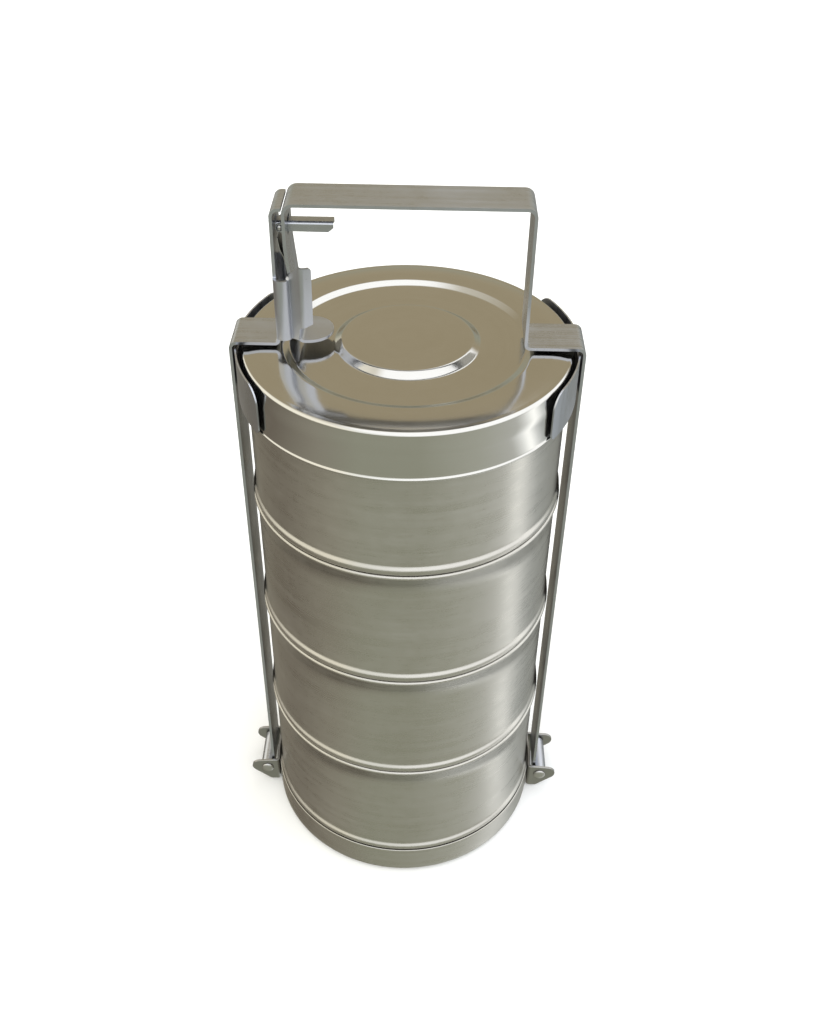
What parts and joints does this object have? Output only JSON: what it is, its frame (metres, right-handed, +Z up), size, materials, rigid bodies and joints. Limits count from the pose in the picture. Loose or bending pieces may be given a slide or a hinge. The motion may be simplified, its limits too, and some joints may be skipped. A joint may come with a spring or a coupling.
{
  "type": "tiffin carrier",
  "caption": "Stack of round steel food bowls with a lid and base tray, held by two hinged straps; one strap forms the carrying handle and stands in a clip on the other.",
  "frame": {"origin": "centre of the base tray's underside, on the surface the carrier stands on", "axes": "+Z up along the stack's axis, +X towards the hinge of the handle's strap, +Y to the back, parallel to the hinge pins"},
  "size_m": [0.198, 0.166, 0.4],
  "materials": {
    "bowl_steel": "satin, fine vertical and round brushing",
    "lid_steel": "polished, with faint round spinning marks",
    "strap_steel": "satin, brushed along the strap",
    "pin_steel": "dull, lightly scratched"
  },
  "bodies": {
    "base": {"base_tray": "bowl_steel", "hinge_bracket_right": "strap_steel", "hinge_bracket_left": "strap_steel", "hinge_pin_right": "pin_steel", "hinge_pin_left": "pin_steel"},
    "bowl_1": {"bowl_1": "bowl_steel"},
    "bowl_2": {"bowl_2": "bowl_steel"},
    "bowl_3": {"bowl_3": "bowl_steel"},
    "bowl_4": {"bowl_4": "bowl_steel"},
    "lid": {"lid": "lid_steel"},
    "arm_right": {"arm_right_handle": "strap_steel", "saddle_plate_right": "strap_steel", "lever_pin": "pin_steel", "lever_spring": "pin_steel", "spring_rivet": "pin_steel"},
    "arm_left": {"arm_left_clip": "strap_steel", "saddle_plate_left": "strap_steel"},
    "lever": {"release_lever": "strap_steel"}
  },
  "joints": [
    {"name": "arm_right_swing", "type": "hinge", "parent": "base", "child": "arm_right", "pos_m": [0.089, 0, 0.012], "axis": [0, 1, 0], "range_deg": [0, 90]},
    {"name": "arm_left_swing", "type": "hinge", "parent": "base", "child": "arm_left", "pos_m": [-0.089, 0, 0.012], "axis": [0, -1, 0], "range_deg": [0, 90.01]},
    {"name": "bowl_1_lift", "type": "slide", "parent": "base", "child": "bowl_1", "axis": [0, 0, 1], "range_m": [0, 0.0151]},
    {"name": "bowl_2_lift", "type": "slide", "parent": "base", "child": "bowl_2", "axis": [0, 0, 1], "range_m": [0, 0.0301]},
    {"name": "bowl_3_lift", "type": "slide", "parent": "base", "child": "bowl_3", "axis": [0, 0, 1], "range_m": [0, 0.0451]},
    {"name": "bowl_4_lift", "type": "slide", "parent": "base", "child": "bowl_4", "axis": [0, 0, 1], "range_m": [0, 0.0601]},
    {"name": "lid_lift", "type": "slide", "parent": "base", "child": "lid", "axis": [0, 0, 1], "range_m": [0, 0.0766]},
    {"name": "lever_squeeze", "type": "hinge", "parent": "arm_right", "child": "lever", "pos_m": [-0.0586, 0, 0.3858], "axis": [0, -1, 0], "range_deg": [0, 8], "stiffness_Nm_per_rad": 0.1, "springref_deg": -5.73}
  ],
  "couplings": [
    {"joint": "arm_left_swing", "follows": "arm_right_swing", "ratio": 1},
    {"joint": "bowl_1_lift", "follows": "arm_right_swing", "m_per_rad": 0.009549},
    {"joint": "bowl_2_lift", "follows": "arm_right_swing", "m_per_rad": 0.019099},
    {"joint": "bowl_3_lift", "follows": "arm_right_swing", "m_per_rad": 0.028648},
    {"joint": "bowl_4_lift", "follows": "arm_right_swing", "m_per_rad": 0.038197},
    {"joint": "lid_lift", "follows": "arm_right_swing", "m_per_rad": 0.048701}
  ]
}
